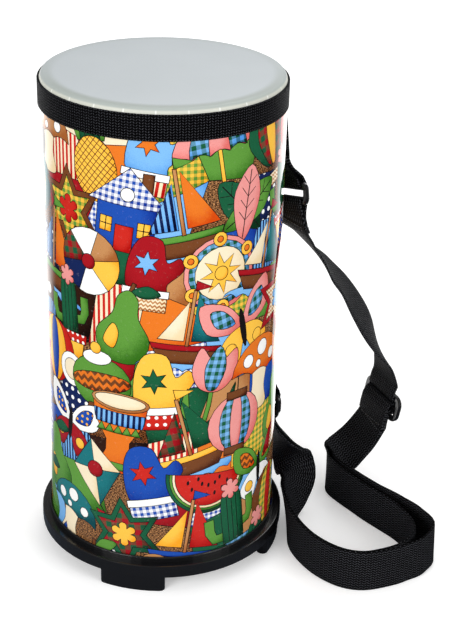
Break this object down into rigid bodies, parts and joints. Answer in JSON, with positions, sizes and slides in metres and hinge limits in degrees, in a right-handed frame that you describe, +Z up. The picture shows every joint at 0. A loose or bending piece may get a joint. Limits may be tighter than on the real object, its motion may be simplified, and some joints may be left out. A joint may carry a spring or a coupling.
{
  "type": "conga drum",
  "caption": "Small conga drum with a fixed film head, a printed wrap, a moulded foot ring and an adjustable webbing shoulder strap.",
  "frame": {"origin": "centre of the drum's base, on the floor that the feet stand on", "axes": "+Z up along the drum's axis, -Y to the front, +X to the right, where the strap hangs"},
  "size_m": [0.3396, 0.2098, 0.416],
  "materials": {
    "fibre_tube": "matt",
    "printed_sheet": "gloss",
    "head_film": "satin",
    "woven_black": "woven",
    "moulded_black": "satin",
    "plated_steel": "plated"
  },
  "bodies": {
    "drum": {"shell": "fibre_tube", "printed_wrap": "printed_sheet", "drum_head": "head_film", "head_band": "woven_black", "foot_ring": "moulded_black", "shoulder_strap": "woven_black", "upper_tab": "woven_black", "upper_tab_screw": "plated_steel", "upper_tab_washer": "plated_steel", "upper_tab_back_washer": "plated_steel", "upper_tab_nut": "plated_steel", "lower_tab": "woven_black", "lower_tab_screw": "plated_steel", "lower_tab_washer": "plated_steel", "lower_tab_back_washer": "plated_steel", "lower_tab_nut": "plated_steel"},
    "upper_loop": {"upper_loop": "moulded_black"},
    "lower_loop": {"lower_loop": "moulded_black"},
    "slider": {"strap_slider": "moulded_black"}
  },
  "joints": [
    {"name": "upper_loop_swing", "type": "hinge", "parent": "drum", "child": "upper_loop", "pos_m": [0.10221, 0.03038, 0.31215], "axis": [-0.5785, 0.786, -0.2183], "range_deg": [-60, 8], "deforming": ["shoulder_strap"]},
    {"name": "lower_loop_swing", "type": "hinge", "parent": "drum", "child": "lower_loop", "pos_m": [0.09119, 0.04647, 0.111], "axis": [-0.4848, 0.8746, 0], "range_deg": [-60, 6], "deforming": ["shoulder_strap"]},
    {"name": "slider_shift", "type": "slide", "parent": "drum", "child": "slider", "axis": [-0.1602, 0.0351, -0.9865], "range_m": [-0.012, 0.012], "deforming": ["shoulder_strap"]}
  ]
}
